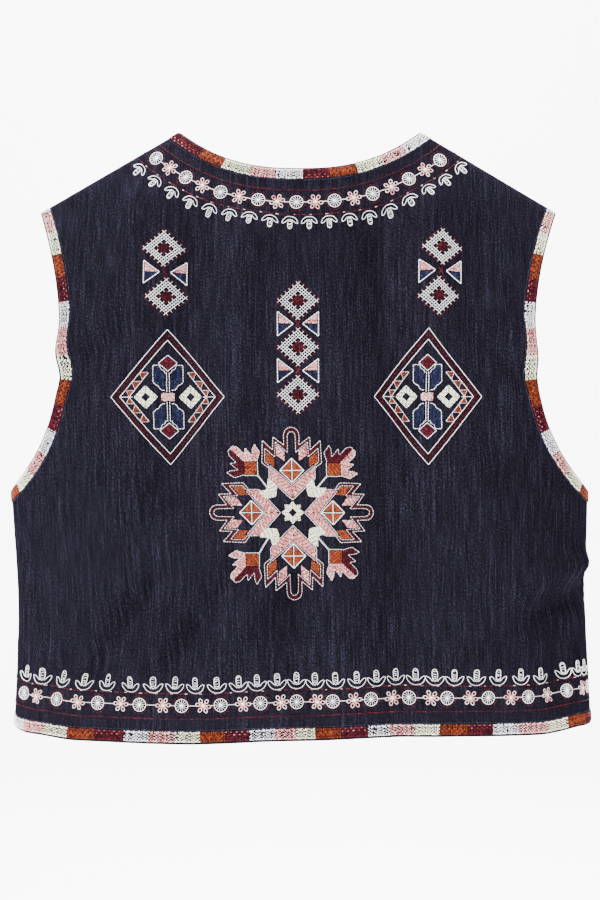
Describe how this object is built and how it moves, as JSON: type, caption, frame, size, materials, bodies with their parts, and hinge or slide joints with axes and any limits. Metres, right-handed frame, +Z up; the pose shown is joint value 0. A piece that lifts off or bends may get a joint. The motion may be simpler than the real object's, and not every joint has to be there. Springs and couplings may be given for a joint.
{
  "type": "embroidered vest",
  "caption": "Cropped sleeveless open-front folk vest of dark cloth, filled out as worn, with striped tape round neck, armholes and hem.",
  "frame": {"origin": "midway between the two points where the shoulder seams meet the neck", "axes": "+Z up, +Y out of the wearer's chest, +X towards the wearer's right; the back of the vest faces -Y"},
  "size_m": [0.4657, 0.1818, 0.4797],
  "materials": {
    "vest_cloth": "matt slub cotton, dark navy",
    "edge_tape": "satin-stitched tape in blocks of colour"
  },
  "bodies": {
    "root": {"back_panel": "vest_cloth", "front_left_panel": "vest_cloth", "front_right_panel": "vest_cloth", "back_hem_tape": "edge_tape", "back_neck_tape": "edge_tape", "back_right_armhole_tape": "edge_tape", "back_left_armhole_tape": "edge_tape", "front_left_hem_tape": "edge_tape", "front_left_edge_tape": "edge_tape", "front_left_armhole_tape": "edge_tape", "front_right_hem_tape": "edge_tape", "front_right_edge_tape": "edge_tape", "front_right_armhole_tape": "edge_tape"}
  },
  "joints": []
}
